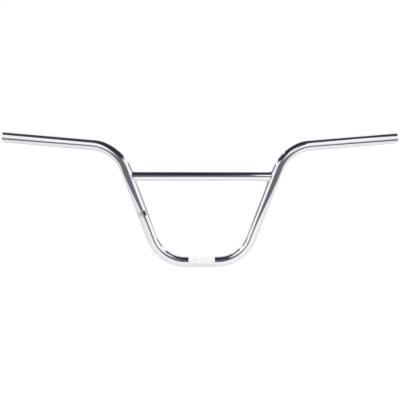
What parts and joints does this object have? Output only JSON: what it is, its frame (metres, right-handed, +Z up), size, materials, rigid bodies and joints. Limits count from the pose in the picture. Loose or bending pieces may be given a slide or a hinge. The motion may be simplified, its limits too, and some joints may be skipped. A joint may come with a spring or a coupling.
{
  "type": "bmx handlebar",
  "caption": "Chrome BMX handlebar: a bent steel tube with rise and backsweep, braced by a welded crossbar, held in a stem at its straight middle.",
  "frame": {"origin": "middle of the stem clamp, on the tube's axis", "axes": "+X along the clamp to the rider's left, +Y towards the rider, +Z up in the plane of the legs"},
  "size_m": [0.7618, 0.0648, 0.2572],
  "materials": {
    "tube_chrome": "mirror",
    "weld_chrome": "bright, rippled",
    "label_film": "white film",
    "band_film": "grey film"
  },
  "bodies": {
    "root": {"main_tube": "tube_chrome", "crossbar": "tube_chrome", "crossbar_welds": "weld_chrome", "clamp_label": "label_film", "leg_band": "band_film"}
  },
  "joints": []
}
